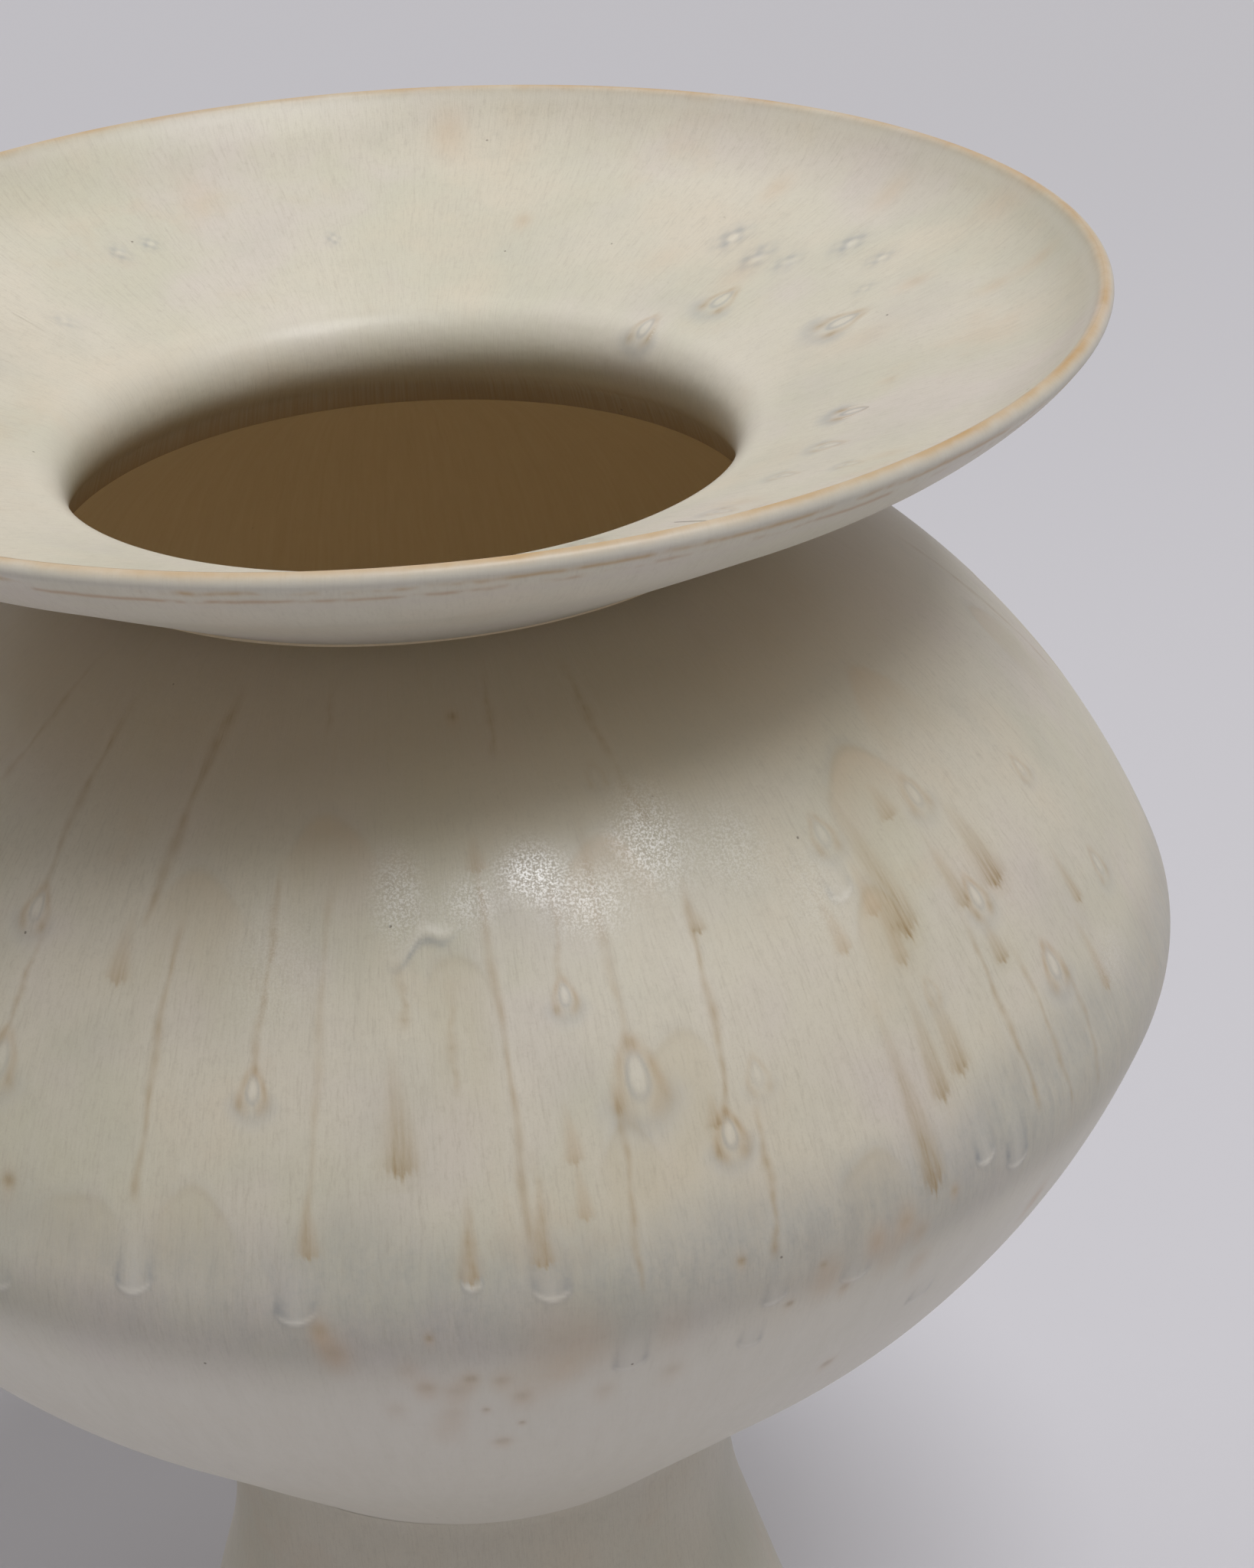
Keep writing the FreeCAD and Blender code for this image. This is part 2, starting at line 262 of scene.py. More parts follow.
# small stains: azimuth, distance, radius, blush, brown
stainMarks = [
    (-10.2, 124.5, 2.2, 0.8, 0.5), (-9.4, 130.0, 3.2, 0.9, 0.35), (-3.6, 141.5, 2.4, 0.7, 0.3),
    (-0.5, 139.5, 2.0, 0.6, 0.5), (1.5, 166.0, 2.2, 0.5, 0.4), (-3.0, 126.5, 1.2, 0.5, 0.7),
    (5.6, 131.5, 7.0, 0.45, 0.0), (25.1, 132.0, 3.5, 0.7, 0.0), (18.4, 121.5, 1.3, 0.4, 1.0),
    (22.4, 136.2, 1.3, 0.3, 0.9), (29.6, 170.0, 2.0, 0.5, 0.6), (-33.4, 104.6, 2.2, 0.3, 1.1),
    (3.4, 13.6, 1.4, 0.4, 0.7), (3.6, 144.0, 5.5, 0.35, 0.0), (0.4, 151.0, 1.1, 0.4, 0.6),
    (3.0, 158.0, 1.0, 0.4, 0.7), (-2.6, 159.0, 3.5, 0.35, 0.0), (29.0, 127.5, 2.6, 0.8, 0.2),
    (30.5, 132.5, 3.5, 0.5, 0.0), (24.6, 128.0, 1.2, 0.2, 0.7), (-2.0, 152.0, 3.0, 0.4, 0.1),
    (8.0, 133.0, 5.0, 0.4, 0.0), (14.0, 148.0, 3.0, 0.3, 0.2), (-6.0, 149.0, 2.4, 0.25, 0.1),
    (31.5, 126.0, 2.6, 0.7, 0.3), (33.0, 130.5, 2.2, 0.6, 0.2), (36.0, 124.5, 1.3, 0.6, 0.6),
    (27.0, 137.5, 1.6, 0.6, 0.4), (-1.5, 143.5, 3.0, 0.55, 0.2), (1.6, 141.0, 2.2, 0.5, 0.3),
    (6.0, 140.0, 3.5, 0.35, 0.0), (3.0, 147.5, 2.2, 0.4, 0.3), (9.0, 150.0, 2.6, 0.35, 0.1),
    (34.0, 140.5, 3.0, 0.45, 0.1), (13.5, 133.5, 4.0, 0.3, 0.0), (-4.6, 135.0, 2.4, 0.35, 0.1),
]
# rings left by drops on the dish: azimuth, distance in from the crest, size, strength
dishDrops = [
    (131.8, 74.0, 1.1, 0.55), (124.7, 60.0, 1.2, 0.6), (102.9, 50.5, 1.4, 0.65), (72.5, 53.0, 1.1, 0.8),
    (61.0, 52.5, 0.9, 0.5), (51.2, 54.0, 0.8, 0.4), (51.6, 39.5, 0.7, 0.4), (37.4, 50.5, 0.9, 0.4),
    (76.0, 42.0, 0.8, 0.45),
]
# broken grey patches on the dish, in the same columns
dishSmudges = [
    (133.5, 41.0, 1.5, 0.8), (127.5, 45.0, 1.5, 0.8), (122.7, 43.5, 1.2, 0.6), (118.4, 32.5, 1.4, 0.75),
    (112.3, 32.5, 1.1, 0.6), (-147.1, 38.0, 1.0, 0.6), (-151.2, 37.5, 0.9, 0.6), (-131.4, 53.0, 1.0, 0.4),
    (-173.4, 47.0, 0.8, 0.5), (108.0, 41.0, 0.9, 0.4),
]
# stains on the dish, in the columns of stainMarks
dishStains = [
    (134.4, 22.5, 3.2, 0.4, 0.1), (121.3, 15.5, 3.5, 0.4, 0.0), (103.8, 33.0, 2.6, 0.4, 0.15),
    (94.2, 11.0, 2.5, 0.4, 0.2), (94.7, 21.5, 2.8, 0.4, 0.1), (172.6, 12.5, 4.5, 0.5, 0.1),
    (162.1, 43.5, 2.0, 0.5, 0.3), (140.0, 52.0, 4.0, 0.25, 0.0), (96.0, 50.0, 5.0, 0.25, 0.05),
    (127.0, 52.0, 4.0, 0.35, 0.0), (-160.0, 24.0, 5.0, 0.25, 0.0), (80.0, 47.0, 1.4, 0.2, 0.5),
]

# The back isn't in the photograph, so it gets marks of the same kinds from a fixed seed
rng = np.random.default_rng(41)


def scatter(count, low, high, spans):
    # even draws: azimuths between low and high, then one column for each span
    columns = [rng.uniform(*span, count) for span in [(low, high), *spans]]
    return [tuple(row) for row in np.c_[*columns]]


def backRuns():
    # runs behind; the ones that stop high end in a drop, and the longest in a tongue
    longest, dropAbove, tongueBelow = 122, 108, 112
    for azimuth, start, length, width, strength in scatter(
            22, 76, 306, [(3, 75), (16, 52), (0.65, 1.1), (0.3, 0.6)]):
        end = min(start + length, longest)
        runMarks.append((azimuth, start, azimuth + rng.uniform(-0.8, 0.8), end, width, strength))
        if rng.random() < 0.55 and end < dropAbove:
            dropMarks.append((runMarks[-1][2], end + 4, rng.uniform(0.8, 1.4), rng.uniform(0.5, 0.95)))
        elif end > tongueBelow:
            tongueMarks.append((runMarks[-1][2], end + rng.uniform(4, 20), rng.uniform(2.4, 3.8),
                                rng.uniform(12, 20)))


backRuns()
flameMarks += scatter(12, 76, 306, [(70, 120), (1.1, 2.2), (12, 34), (0.4, 0.75)])
archMarks += scatter(14, 72, 310, [(28, 108), (5, 8.5), (16, 34), (0.25, 0.6), (0, 0.8)])
stainMarks += scatter(26, 45, 320, [(104, 170), (1.1, 3.2), (0.3, 0.8), (0, 0.8)])
dishDrops += scatter(7, -120, 30, [(26, 70), (0.8, 1.3), (0.35, 0.7)])
dishSmudges += scatter(6, -120, 60, [(24, 60), (0.8, 1.2), (0.35, 0.6)])
dishStains += scatter(10, -150, 70, [(10, 60), (2, 4.5), (0.2, 0.5), (0, 0.25)])
# patches where the glaze has fine crystals, their pale specks partly painted glints: azimuth, distance, half
# width, half length, strength
crystalMarks = [
    (-3.5, 48.0, 4.5, 8.0, 0.9), (2.5, 50.0, 5.0, 5.0, 0.6), (8.5, 45.5, 5.5, 5.5, 1.0),
    (13.0, 53.0, 8.0, 6.0, 0.6), (20.5, 44.0, 6.5, 9.0, 1.0), (27.5, 50.0, 7.0, 8.0, 0.6),
    (33.0, 62.0, 6.0, 9.0, 0.35), (-14.0, 60.0, 9.0, 12.0, 0.25),
]
crystalMarks += scatter(14, 60, 310, [(30, 110), (4, 9), (5, 12), (0.3, 0.9)])
markNames = ("ochre", "frost", "blush", "veil", "slate", "crystal", "wash")


def smooth(low, high, value):
    # 0 below low, 1 above high, and an S-curve between
    share = np.clip((value - low) / (high - low), 0, 1)
    return share * share * (3 - 2 * share)


def wrap(degrees):
    return (degrees + 180) % 360 - 180


def emptyField(azimuth):
    return {name: np.zeros(azimuth.shape) for name in (*markNames, "relief")}


def near(grid, place, reach, low, high):
    # the grid points within reach of a mark, with their distance across and along it in millimetres
    azimuth, along, radius = grid
    across = np.radians(wrap(azimuth - place[0])) * radius
    hit = np.nonzero((np.abs(across) < reach) & (along > place[1] - low) & (along < place[1] + high))
    return hit, across[hit], along[hit] - place[1]


def spread(field, hit, **amounts):
    # adds an amount of each kind of mark, and of relief, to the points that were hit
    for name, amount in amounts.items():
        field[name][hit] += amount


def addDrops(field, grid, marks):
    # clear core, ochre ring open below, pale skirt, and a low dome
    for centre, distance, size, strength in marks:
        hit, across, down = near(grid, (centre, distance), 7 * size, 8 * size, 10 * size)
        across, down = across / size, down / size
        lean = across / (1 + 0.10 * np.clip(down, -3, 3))
        ring = np.hypot(lean / 2.15, down / 3.5)
        core = np.exp(-((lean / 0.85) ** 2 + ((down + 0.3) / 2.2) ** 2) ** 1.4)
        opening = 1 - smooth(0.2, 2.8, down) * np.exp(-(lean / 1.1) ** 2)
        rim = np.exp(-((ring - 1) / 0.30) ** 2) * opening
        tips = np.exp(-((np.abs(lean) - 1.75) / 0.6) ** 2 - ((down - 2.6) / 1.1) ** 2)
        skirt = np.exp(-((ring - 1.75) / 0.38) ** 2) * smooth(-1.5, 3, down)
        patchy = 0.75 + 0.35 * np.sin(2.3 * lean + centre) * np.cos(1.1 * down + distance)
        shore = np.exp(-((np.hypot(lean, (down + 0.3) / 2.2) - 1.05) / 0.28) ** 2)
        border = np.exp(-((ring - 1.45) / 0.5) ** 2) * smooth(-1, 3, down)
        spread(field, hit, ochre=strength * patchy * (0.42 * rim + 0.36 * tips) * (1 - 0.8 * core),
               blush=strength * patchy * 0.45 * rim, frost=strength * (0.38 * core + 0.16 * skirt),
               slate=strength * (0.36 * border + 0.50 * shore),
               relief=strength * size * (0.07 * np.exp(-ring ** 2) + 0.03 * core - 0.03 * rim))


def addSmudges(field, grid, marks):
    # broken grey patch with a pale middle
    for centre, distance, size, strength in marks:
        reach = 7 * size
        hit, across, down = near(grid, (centre, distance), reach, reach, reach)
        across, down = across / size, down / size
        lobes = 0.6 + 0.4 * np.sin(across * 2.1 + centre) * np.cos(down * 1.7 + distance)
        body = np.exp(-((across / 1.9) ** 2 + (down / 2.9) ** 2))
        heart = np.exp(-(((across + 0.4) / 0.8) ** 2 + (down / 1.2) ** 2))
        spread(field, hit, slate=strength * 0.8 * np.clip(body * lobes - 0.6 * heart, 0, 1),
               frost=strength * 0.7 * heart, relief=strength * size * 0.12 * body)


def addRuns(field, grid):
    # thin stain that wanders a little, with a pale border, raised a twentieth of a millimetre
    azimuth, along, radius = grid
    for startAt, start, endAt, end, width, strength in runMarks:
        middle = (start + end) / 2
        share = np.clip((along - start) / (end - start), 0, 1)
        sway = 0.16 * np.sin(share * 7 + startAt) + 0.07 * np.sin(share * 23 + endAt)
        line = startAt + (endAt - startAt) * share + sway
        across = np.radians(wrap(azimuth - line)) * radius
        hit = np.nonzero((np.abs(across) < 5) & (along > start - 3) & (along < end + 3))
        side, down, part = across[hit], along[hit], share[hit]
        fade = smooth(start - 2, start + 10, down) * (1 - smooth(end - 1, end + 2.5, down))
        beat = 0.7 + 0.3 * np.sin(part * 17 + middle) * np.sin(part * 41 + startAt)
        swell = width * (0.8 + 0.25 * np.sin(part * 12 + endAt))
        core = np.exp(-(side / swell) ** 2)
        border = np.exp(-((np.abs(side) - 2.2 * swell) / swell) ** 2)
        spread(field, hit, ochre=0.80 * strength * fade * beat * core,
               blush=0.35 * strength * fade * beat * core, frost=strength * fade * 0.12 * border,
               relief=0.05 * fade * np.exp(-(side / (1.7 * swell)) ** 2))


def addTongues(field, grid):
    # swelling tongue with grey-blue flanks and a white crescent at its rounded tip
    for centre, tip, width, length in tongueMarks:
        hit, across, down = near(grid, (centre, tip), width * 2.2, length + 4, 5)
        side = across / width
        bow = 0.35 * np.sin(centre * 1.7)
        nose = -1.5 * side ** 2 * (width / 3) + bow * side * 2
        share = np.clip((down + length) / length, 0, 1.3)
        inside = 1 / (1 + np.exp(np.clip((down - nose) / 0.28, -40, 40)))
        flank = np.clip(1 - (side / (0.55 + 0.5 * share)) ** 4, 0, 1)
        body = inside * flank * share ** 1.6
        crescent = np.exp(-((down - nose + 0.55) / 0.55) ** 2) * np.clip(1 - side ** 4, 0, 1)
        edge = np.exp(-((np.abs(side) - 0.85) / 0.22) ** 2) * inside * share ** 2 * smooth(-length, 0, down)
        spine = inside * np.exp(-(side / 0.35) ** 2) * share ** 2
        spread(field, hit, frost=0.12 * body + 0.55 * crescent + 0.25 * spine,
               slate=0.60 * edge * (1 - crescent) + 0.22 * body, relief=0.20 * body + 0.05 * crescent)


def addFlames(field, grid):
    # comet of fine hairs: widest near its lower tip and thin above
    for centre, tip, width, length, strength in flameMarks:
        hit, across, down = near(grid, (centre, tip), width * 2.5, length * 1.05, 2)
        up = np.clip(-down / length, 0, 1)
        bend = 0.9 * np.sin(up * 3 + centre) * width * 0.5
        half = width * (0.25 + 1.35 * (1 - up) ** 0.8) * smooth(-0.01, 0.10, up + 0.02 * np.sin(across * 5))
        side = (across - bend * up) / np.maximum(half, 0.05)
        place = grid[0][hit]
        strand = place * 15 + 2 * np.sin(place * 7 + centre) + 0.9 * np.sin(down * 0.5)
        hairs = 0.74 + 0.26 * np.sin(strand) * np.sin(place * 33 + centre)
        body = np.exp(-np.abs(side) ** 3) * (1 - up) ** 0.9 * smooth(-0.03, 0.03, -down / length + 0.02)
        comb = np.exp(-(across / (2.0 * width)) ** 2) * hairs ** 2 * (1 - up) ** 1.5 * (down < 0)
        tipped = 0.80 + 0.5 * np.exp(-(up / 0.14) ** 2)
        spread(field, hit, ochre=strength * (tipped * body * hairs + 0.28 * comb),
               blush=0.5 * (1.0 - strength) * body,
               veil=0.25 * strength * np.exp(-(across / (2.2 * width)) ** 2) * (1 - up),
               relief=0.05 * strength * body)


def addArches(field, grid):
    # a hill-shaped edge: darker along the arch, yellower or pinker below it, and a little thinner
    for centre, top, width, length, edge, pink in archMarks:
        hit, across, down = near(grid, (centre, top), width * 2, 5, length * 1.3)
        side = across / width
        hill = down - 5.5 * side ** 2 * (1 + 0.25 * np.sin(centre)) - 0.8 * np.sin(side * 3 + top)
        fade = 1 - smooth(0.35, 1.25, hill / length)
        below = smooth(-0.6, 2.2, hill) * fade * np.exp(-np.abs(side * 0.9) ** 3.5)
        crown = np.exp(-np.abs(side) ** 3)
        spread(field, hit, veil=0.38 * below * (1 - 0.5 * pink),
               blush=0.40 * pink * below * np.exp(-np.clip(hill - 3, 0, None) / 7),
               ochre=0.32 * edge * np.exp(-((hill - 0.7) / 0.95) ** 2) * crown,
               slate=0.22 * edge * np.exp(-((hill + 0.9) / 1.3) ** 2) * crown, relief=-0.10 * below)


def addKnobs(field, grid):
    # rolled edge of thick glaze: a leaning ridge, with a painted highlight above and painted shadow beneath
    for centre, distance, width, lean in knobMarks:
        hit, across, down = near(grid, (centre, distance), width * 1.8, 9, 9)
        side = across / width
        ridge = down - (lean * across * 1.2 - 1.3 * np.cos(side * 3.6) * (1 - 0.3 * side))
        body = np.exp(-np.abs(side) ** 3.2) * np.exp(-(ridge / 1.5) ** 2)
        spread(field, hit,
               relief=0.17 * body + 0.06 * np.exp(-side ** 4) * smooth(-8, -1, ridge) * (ridge < 0),
               frost=0.5 * np.exp(-np.abs(side) ** 3) * np.exp(-((ridge + 1.0) / 1.3) ** 2),
               slate=0.75 * np.exp(-np.abs(side) ** 3) * np.exp(-((ridge - 1.0) / 0.8) ** 2))


def addStains(field, grid, marks):
    # soft pink patch, with a brown upper edge where it is a pit
    for centre, distance, size, pink, brown in marks:
        reach = size * 2.6
        hit, across, down = near(grid, (centre, distance), reach, reach, reach)
        lean = across * 1.1
        patch = np.exp(-(np.hypot(lean, down * 0.62) / size) ** 2.2)
        pit = np.exp(-((lean / (0.7 * size)) ** 2 + ((down + 0.3 * size) / (0.6 * size)) ** 2))
        spread(field, hit, blush=0.6 * pink * patch, ochre=0.75 * brown * pit,
               relief=-0.10 * brown * pit)


def addCrystals(field, grid):
    # a patch that fades at its border; the material draws the crystals and their partly painted glints
    for centre, distance, width, length, strength in crystalMarks:
        place, reach = (centre, distance), length * 2
        hit, across, down = near(grid, place, width * 2, reach, reach)
        spread(field, hit,
               crystal=strength * np.exp(-((across / width) ** 2 + (down / length) ** 2) ** 1.3))


def bodyField(azimuth, runAlong, radius):
    # all the marks on shoulder and haunch, and painted shade round the neck and the belly
    along = runAlong - markAt
    field = emptyField(azimuth)
    grid = (azimuth, along, radius)
    addArches(field, grid)
    addStains(field, grid, stainMarks)
    addRuns(field, grid)
    addDrops(field, grid, dropMarks)
    for addMarks in (addTongues, addFlames, addKnobs, addCrystals):
        addMarks(field, grid)
    # painted shade of the collar's shadow: darker and browner round the neck, partly the glaze's own browner
    # tone there
    neckShade = 1 - smooth(14, 52, along)
    for name, share in {"blush": 0.30, "veil": 0.60, "ochre": 0.16}.items():
        field[name] += share * neckShade
    # painted shade where the belly turns under, partly grey-blue glaze pooled there and less at the left;
    # the bowl below is paler, partly its glaze and partly painted light from the floor
    turn = np.radians(azimuth)
    edge = bellyAt + 4.0 * np.exp(-((azimuth - 30) / 14) ** 2) + 2.0 * np.sin(5 * turn + 0.6) \
        + 1.4 * np.sin(13 * turn) + 0.8 * np.sin(29 * turn + 2)
    bellyShade = 0.38 + 0.09 * np.cos(turn - 0.4) + 0.04 * np.sin(4 * turn) \
        - 0.13 * np.exp(-((azimuth + 34) / 13) ** 2)
    ends = 1 - smooth(bellyAt - 4, bellyAt + 16, along)
    field["slate"] += bellyShade * smooth(edge - 24, edge - 9, along) * ends
    field["wash"] += 0.85 * smooth(bellyAt - 4, bellyAt + 26, along)
    return field


def dishField(azimuth, along, radius):
    # stains and a painted highlight, for the coarse face; marks on the dish are measured in from the crest
    field = emptyField(azimuth)
    addStains(field, (azimuth, dishLength - along, radius), dishStains)
    field["blush"] *= 1.3
    # a painted highlight: paler over the roll at the throat
    field["wash"] += 0.40 * np.exp(-((along - 19) / 6) ** 2)
    return field


def dishWithDrops(azimuth, along, radius):
    grid = (azimuth, dishLength - along, radius)
    field = dishField(azimuth, along, radius)
    addDrops(field, grid, dishDrops)
    addSmudges(field, grid, dishSmudges)
    for name, gain in {"slate": 1.9, "ochre": 1.5, "frost": 0.5}.items():
        field[name] *= gain
    return field


def throwing(azimuth, along):
    # the slight waver of a hand-thrown wall, in millimetres
    turn = np.radians(azimuth)
    return (0.06 * np.sin(2 * turn + 0.7) * np.sin(along / 31) + 0.05 * np.sin(3 * turn + along / 47)
            + 0.035 * np.sin(5 * turn - along / 23 + 1.1) + 0.03 * np.sin(along / 6.3 + 1.5 * np.sin(turn)))


# Meshes

def putOnRun(run, azimuth, along, relief):
    # place and face direction of points on a run, raised by their relief along the face's normal
    across, up, slopeAcross, slopeUp = onRun(run, along)
    turn = np.radians(azimuth)
    outAcross, outUp = -slopeUp, slopeAcross
    radius = across + outAcross * relief
    place = np.stack([radius * np.sin(turn), -radius * np.cos(turn), up + outUp * relief], -1)
    return place, (across, slopeAcross, slopeUp, outAcross, outUp, turn)


def faceNormals(geometry, riseAlong, riseRound):
    # the run's own normal, tipped by how fast the relief rises along the run and round the axis
    across, slopeAcross, slopeUp, outAcross, outUp, turn = geometry
    radial = outAcross - riseAlong * slopeAcross
    upright = outUp - riseAlong * slopeUp
    normal = np.stack([radial * np.sin(turn) - riseRound * np.cos(turn),
                       -radial * np.cos(turn) - riseRound * np.sin(turn), upright], -1)
    return normal / np.linalg.norm(normal, axis=-1, keepdims=True)


def gridFaces(rows, columns, wrapColumns, wrapRows):
    # quads of a grid whose points are numbered row by row
    row = np.arange(rows if wrapRows else rows - 1)[:, None]
    column = np.arange(columns if wrapColumns else columns - 1)[None, :]
    rowAfter, columnAfter = (row + 1) % rows, (column + 1) % columns
    corners = [row * columns + column, rowAfter * columns + column,
               rowAfter * columns + columnAfter, row * columns + columnAfter]
    return np.stack(corners, -1).reshape(-1, 4)


def buildMesh(name, places, normals, quads, fields, triangles=None):
    # fills a mesh from arrays, in metres, with its own normals and one attribute for each field
    mesh = bpy.data.meshes.new(name)
    kinds = [quads] if triangles is None else [quads, triangles]
    loops = np.concatenate([faces.ravel() for faces in kinds])
    sizes = np.concatenate([np.full(len(faces), faces.shape[1]) for faces in kinds])
    mesh.vertices.add(len(places))
    mesh.vertices.foreach_set("co", (places / 1000).astype(np.float32).ravel())
    mesh.loops.add(len(loops))
    mesh.loops.foreach_set("vertex_index", loops.astype(np.int32))
    mesh.polygons.add(len(sizes))
    mesh.polygons.foreach_set("loop_start", np.r_[0, np.cumsum(sizes)[:-1]].astype(np.int32))
    mesh.polygons.foreach_set("use_smooth", np.ones(len(sizes), bool))
    mesh.update(calc_edges=True)
    mesh.validate()
    for field, values in fields.items():
        attribute = mesh.attributes.new(field, "FLOAT", "POINT")
        attribute.data.foreach_set("value", values.astype(np.float32).ravel())
    mesh.normals_split_custom_set_from_vertices(normals.reshape(-1, 3).astype(np.float32))
    piece = bpy.data.objects.new(name, mesh)
    bpy.context.scene.collection.objects.link(piece)
    return piece


def slopesOf(relief, along, azimuth, radius, wrapped):
    # rise of the relief per millimetre along the run and round the axis
    riseAlong = np.gradient(relief, along, axis=0)
    step = math.radians(azimuth[1] - azimuth[0])
    if wrapped:
        riseRound = (np.roll(relief, -1, 1) - np.roll(relief, 1, 1)) / (2 * step)
    else:
        riseRound = np.gradient(relief, step, axis=1)
    return riseAlong, riseRound / np.maximum(radius, 1)[:, None]


def wholeRun(run, columns, fieldOf, waver):
    # one run carried all the way round
    azimuth = np.arange(columns) * 360 / columns - 180
    around, along = np.meshgrid(azimuth, run["along"])
    radius = np.broadcast_to(run["across"][:, None], around.shape)
    field = fieldOf(around, along, radius)
    relief = field.pop("relief") + waver * throwing(around, along)
    places, geometry = putOnRun(run, around, along, relief)
    normals = faceNormals(geometry, *slopesOf(relief, run["along"], azimuth, run["across"], True))
    return places, normals, field


def shell(name, runs, columns, node, closed=True):
    # a clay part's closed skin: its runs follow one another round the outline of its section
    blocks = [wholeRun(run, columns, fieldOf, waver) for run, fieldOf, waver in runs]
    places = np.concatenate([block[0] for block in blocks])
    normals = np.concatenate([block[1] for block in blocks])
    fields = {key: np.concatenate([block[2][key] for block in blocks]) for key in blocks[0][2]}
    rows = len(places)
    triangles = None
    if closed:
        quads = gridFaces(rows, columns, True, True)
    else:
        # the section starts and ends on the axis, so its first and last rows become poles
        quads = gridFaces(rows - 2, columns, True, False)
        ring = np.arange(columns)
        first, last, top = (rows - 2) * columns, (rows - 2) * columns + 1, (rows - 3) * columns
        after = (ring + 1) % columns
        triangles = np.vstack([np.c_[np.full(columns, first), ring, after],
                               np.c_[top + ring, np.full(columns, last), top + after]])

        def poles(grid):
            return np.concatenate([grid[1:-1].reshape(-1, grid.shape[-1]), grid[:1, 0], grid[-1:, 0]])
        places, normals = poles(places), poles(normals)
        fields = {key: poles(value[..., None])[:, 0] for key, value in fields.items()}
    piece = buildMesh(name, places.reshape(-1, 3), normals.reshape(-1, 3), quads, fields, triangles)
    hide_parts(node)
    return finishPiece(piece)


def finishPiece(piece):
    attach(piece, "root")
    piece.data.materials.append(glaze)
    print(piece.name, len(piece.data.polygons), "faces")
    return piece


def tagField(azimuth, along, start=0.0, sign=1, lip=None, inside=0.0, bare=0.0):
    # the distance that the streaks follow, the distance from the lip's crest in metres, and where
    # the throat's shade or bare clay shows: one number, or its values at distances along the run
    even = np.ones(azimuth.shape)
    crest = 1000.0 * even if lip is None else lip + along
    spread = [even * tag if np.ndim(tag) == 0 else np.interp(along, *tag) for tag in (inside, bare)]
    return {"along": (start + sign * along) / 1000, "lip": crest / 1000, "inside": spread[0],
            "bare": spread[1]}


def marked(fieldOf, **tags):
    # a field with its tags
    def field(azimuth, along, radius):
        return {**fieldOf(azimuth, along, radius), **tagField(azimuth, along, **tags)}
    return field


def plainField(wash=0.0, **tags):
    # a field for faces with no marks
    def field(azimuth, along, radius):
        return {**emptyField(azimuth), "wash": np.full(azimuth.shape, wash)}
    return marked(field, **tags)


dishTags = {"start": 400 + dishLength, "sign": -1, "lip": -dishLength,
            "inside": ([0, 4, 9, 14], [0.75, 0.6, 0.3, 0])}


def sheet(run, azimuth, along, fieldOf, lift=None):
    # part of a glazed face in a finer grid; one more row and column all round gives smooth normals,
    # and is then left out
    wideAzimuth = np.r_[2 * azimuth[0] - azimuth[1], azimuth, 2 * azimuth[-1] - azimuth[-2]]
    wideAlong = np.r_[2 * along[0] - along[1], along, 2 * along[-1] - along[-2]]
    around, grid = np.meshgrid(wideAzimuth, wideAlong)
    radius = np.broadcast_to(onRun(run, wideAlong)[0][:, None], around.shape)
    field = fieldOf(around, grid, radius)
    relief = field.pop("relief") + throwing(around, grid)
    slopes = slopesOf(relief, wideAlong, wideAzimuth, radius[:, 0], False)
    if lift is not None:
        relief = relief + lift(around, grid, radius)
    places, geometry = putOnRun(run, around, grid, relief)
    normals = faceNormals(geometry, *slopes)
    kept = (slice(1, -1), slice(1, -1))
    quads = gridFaces(len(along), len(azimuth), False, False)
    return (places[kept].reshape(-1, 3), normals[kept].reshape(-1, 3), quads,
            {key: value[kept].ravel() for key, value in field.items()})


def joinSheets(name, sheets):
    # several sheets in one mesh
    starts = np.cumsum([0] + [len(made[0]) for made in sheets])
    quads = np.concatenate([made[2] + start for made, start in zip(sheets, starts)])
    fields = {key: np.concatenate([made[3][key] for made in sheets]) for key in sheets[0][3]}
    return finishPiece(buildMesh(name, np.concatenate([made[0] for made in sheets]),
                                 np.concatenate([made[1] for made in sheets]), quads, fields))


def mergeBoxes(boxes):
    # boxes that overlap become the one box round them, until none overlap
    boxes = [list(box) for box in boxes]
    joined = True
    while joined:
        joined = False
        for first in range(len(boxes)):
            for second in range(first + 1, len(boxes)):
                a, b = boxes[first], boxes[second]
                if a[0] < b[1] and b[0] < a[1] and a[2] < b[3] and b[2] < a[3]:
                    boxes[first] = [min(a[0], b[0]), max(a[1], b[1]),
                                    min(a[2], b[2]), max(a[3], b[3])]
                    del boxes[second]
                    joined = True
                    break
            if joined:
                break
    return boxes


# Materials

